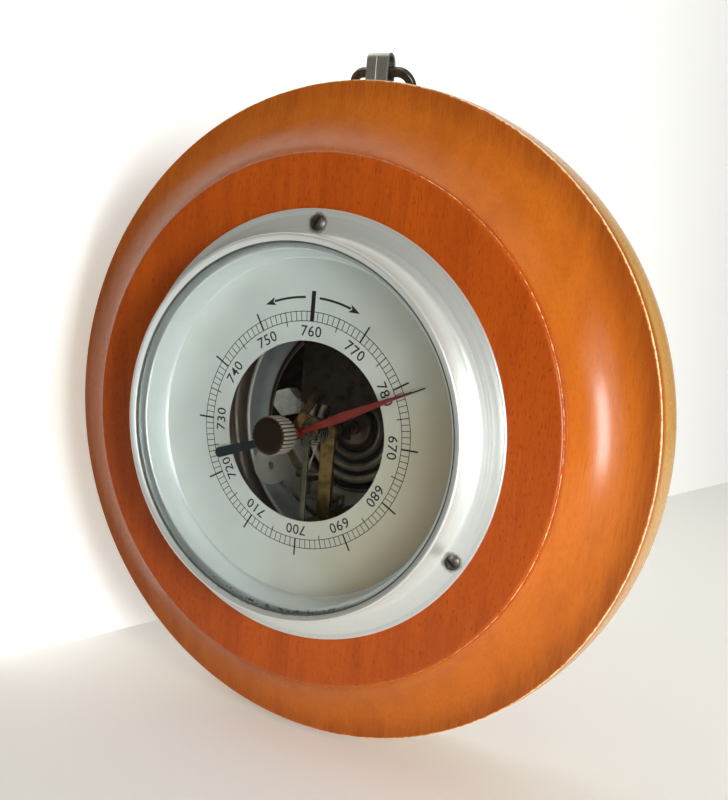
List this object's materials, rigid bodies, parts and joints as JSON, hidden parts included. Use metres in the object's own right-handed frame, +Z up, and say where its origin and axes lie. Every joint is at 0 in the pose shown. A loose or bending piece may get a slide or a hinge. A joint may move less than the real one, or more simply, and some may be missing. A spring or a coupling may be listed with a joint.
{
  "type": "aneroid barometer",
  "caption": "Round wall barometer: turned wooden board, spun metal bezel with glass, open dial over an aneroid movement, two hands and a hanging ring.",
  "frame": {"origin": "centre of the wooden board's flat back, on the wall", "axes": "-Y out of the wall along the dial's axis, towards the viewer; +Z up; +X to the viewer's right"},
  "size_m": [0.193, 0.0668, 0.2056],
  "materials": {
    "beech": "stained and varnished",
    "spun_aluminium": "spun satin",
    "dark_steel": "tarnished",
    "bright_steel": "plain",
    "browned_steel": "browned",
    "blued_steel": "blued",
    "pane": "clear",
    "black_rubber": "matte",
    "silvered_metal": "satin silver",
    "silvered_dial": "silvered, printed in black",
    "slate_paint": "dark slate paint",
    "grey_plate": "light grey satin",
    "capsule_metal": "tinned",
    "brass_work": "plain",
    "pale_brass": "plain",
    "red_paint": "gloss",
    "brown_bakelite": "satin"
  },
  "bodies": {
    "board": {"wood_board": "beech", "bezel": "spun_aluminium", "bezel_screws": "dark_steel", "glass": "pane", "glass_gasket": "black_rubber", "reflector_ring": "silvered_metal", "dial_plate": "silvered_dial", "case_drum": "slate_paint", "base_plate": "grey_plate", "base_screws": "bright_steel", "spring_bracket": "browned_steel", "bracket_bolts": "bright_steel", "capsule_lower": "capsule_metal", "capsule_upper": "capsule_metal", "main_spring": "browned_steel", "spring_clamp": "browned_steel", "clamp_screws": "bright_steel", "shaft_frame": "pale_brass", "frame_screws": "bright_steel", "drum_chain": "bright_steel", "hairspring": "blued_steel", "hairspring_stud": "brass_work", "arbor_cock": "brass_work", "cock_pillar": "brass_work", "upper_bridge": "bright_steel", "bridge_spacer": "brass_work", "bridge_screw": "bright_steel", "glass_bush": "brass_work", "bush_nut": "brass_work", "hanger_strap": "bright_steel", "hanger_screws": "bright_steel"},
    "pointer": {"pointer_arbor": "bright_steel", "hairspring_collet": "brass_work", "measuring_hand": "blued_steel"},
    "capsule_stem": {"capsule_post": "brass_work", "post_nut": "brass_work"},
    "lever": {"main_lever": "pale_brass"},
    "link": {"link_rod": "bright_steel"},
    "rocker": {"rocking_shaft": "bright_steel", "link_arm": "pale_brass", "chain_arm": "bright_steel"},
    "setter": {"set_hand": "red_paint", "set_spindle": "bright_steel", "set_knob": "brown_bakelite", "knob_washer": "bright_steel"},
    "adjuster": {"adjusting_screw": "brass_work"},
    "ring": {"hanger_ring": "dark_steel"}
  },
  "joints": [
    {"name": "pointer_turn", "type": "hinge", "parent": "board", "child": "pointer", "pos_m": [0, 0, 0], "axis": [0, 1, 0], "range_deg": [-335, 15], "stiffness_Nm_per_rad": 0.0009, "deforming": ["hairspring", "drum_chain"]},
    {"name": "stem_slide", "type": "slide", "parent": "board", "child": "capsule_stem", "axis": [0, -1, 0], "range_m": [-0.0001, 0.0016], "deforming": ["main_spring", "capsule_upper"]},
    {"name": "lever_tilt", "type": "hinge", "parent": "board", "child": "lever", "pos_m": [0, -0.0212, 0.0285], "axis": [1, 0, 0], "range_deg": [-3.3, 0.3]},
    {"name": "link_slide", "type": "slide", "parent": "board", "child": "link", "axis": [0, -1, 0], "range_m": [-0.0002, 0.0021]},
    {"name": "rocker_tilt", "type": "hinge", "parent": "board", "child": "rocker", "pos_m": [-0.009, -0.018, -0.0155], "axis": [1, 0, 0], "range_deg": [-1, 16.5]},
    {"name": "setter_turn", "type": "hinge", "parent": "board", "child": "setter", "pos_m": [0, -0.05, 0], "axis": [0, 1, 0], "continuous": true},
    {"name": "adjuster_turn", "type": "hinge", "parent": "board", "child": "adjuster", "pos_m": [0, -0.005, 0.02465], "axis": [0, 1, 0], "range_deg": [-360, 360]},
    {"name": "ring_swing", "type": "hinge", "parent": "board", "child": "ring", "pos_m": [-0.0062, -0.0026, 0.1039], "axis": [1, 0, 0], "range_deg": [-18, 250]}
  ],
  "couplings": [
    {"joint": "rocker_tilt", "follows": "pointer_turn", "ratio": -0.045833},
    {"joint": "link_slide", "follows": "pointer_turn", "m_per_rad": -0.00033917},
    {"joint": "lever_tilt", "follows": "pointer_turn", "ratio": 0.0092669},
    {"joint": "stem_slide", "follows": "pointer_turn", "m_per_rad": -0.0002641}
  ]
}
